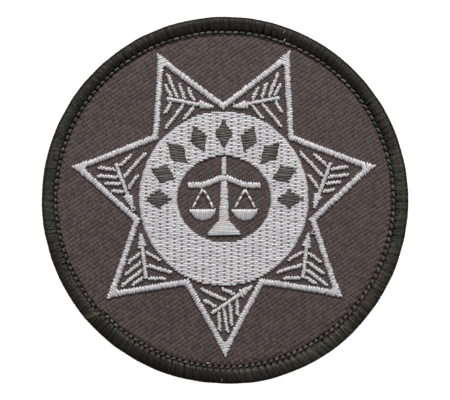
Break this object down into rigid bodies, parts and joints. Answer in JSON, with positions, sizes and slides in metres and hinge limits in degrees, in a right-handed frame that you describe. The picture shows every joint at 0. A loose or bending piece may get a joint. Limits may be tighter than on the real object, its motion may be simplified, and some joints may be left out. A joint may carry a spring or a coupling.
{
  "type": "embroidered patch",
  "caption": "Round twill patch with a thread-wound edge and raised silver embroidery: a star, a stitched ring and a pair of scales.",
  "frame": {"origin": "centre of the underside, on the surface that the patch lies on", "axes": "+Z points out of the embroidered face, +Y to the top of the design, +X to the right of the face"},
  "size_m": [0.0762, 0.0762, 0.0024],
  "materials": {
    "twill": "matte woven twill, dark brown-grey",
    "edge_thread": "wound polyester thread, black-green, low sheen",
    "needle_thread": "thin grey chain-stitch thread, satin",
    "silver_thread": "silver-grey embroidery thread, satin sheen",
    "dark_thread": "dark brown-grey embroidery thread, satin sheen"
  },
  "bodies": {
    "root": {"ground_cloth": "twill", "merrowed_border": "edge_thread", "needle_line": "needle_thread", "star_outline": "silver_thread", "ring_fill": "silver_thread", "arrow_upper_right": "silver_thread", "arrow_right": "silver_thread", "arrow_lower_right": "silver_thread", "arrow_bottom": "silver_thread", "arrow_lower_left": "silver_thread", "arrow_left": "silver_thread", "arrow_upper_left": "silver_thread", "barbs_upper_right": "silver_thread", "barbs_right": "silver_thread", "barbs_lower_right": "silver_thread", "barbs_bottom": "silver_thread", "barbs_lower_left": "silver_thread", "barbs_left": "silver_thread", "barbs_upper_left": "silver_thread", "scales_finial": "silver_thread", "scales_beam": "silver_thread", "scales_post": "silver_thread", "scales_base": "silver_thread", "left_cords": "silver_thread", "right_cords": "silver_thread", "left_pan": "silver_thread", "right_pan": "silver_thread", "lozenge_1": "dark_thread", "lozenge_2": "dark_thread", "lozenge_3": "dark_thread", "lozenge_4": "dark_thread", "lozenge_5": "dark_thread", "lozenge_6": "dark_thread", "lozenge_7": "dark_thread", "lozenge_8": "dark_thread", "lozenge_9": "dark_thread"}
  },
  "joints": []
}
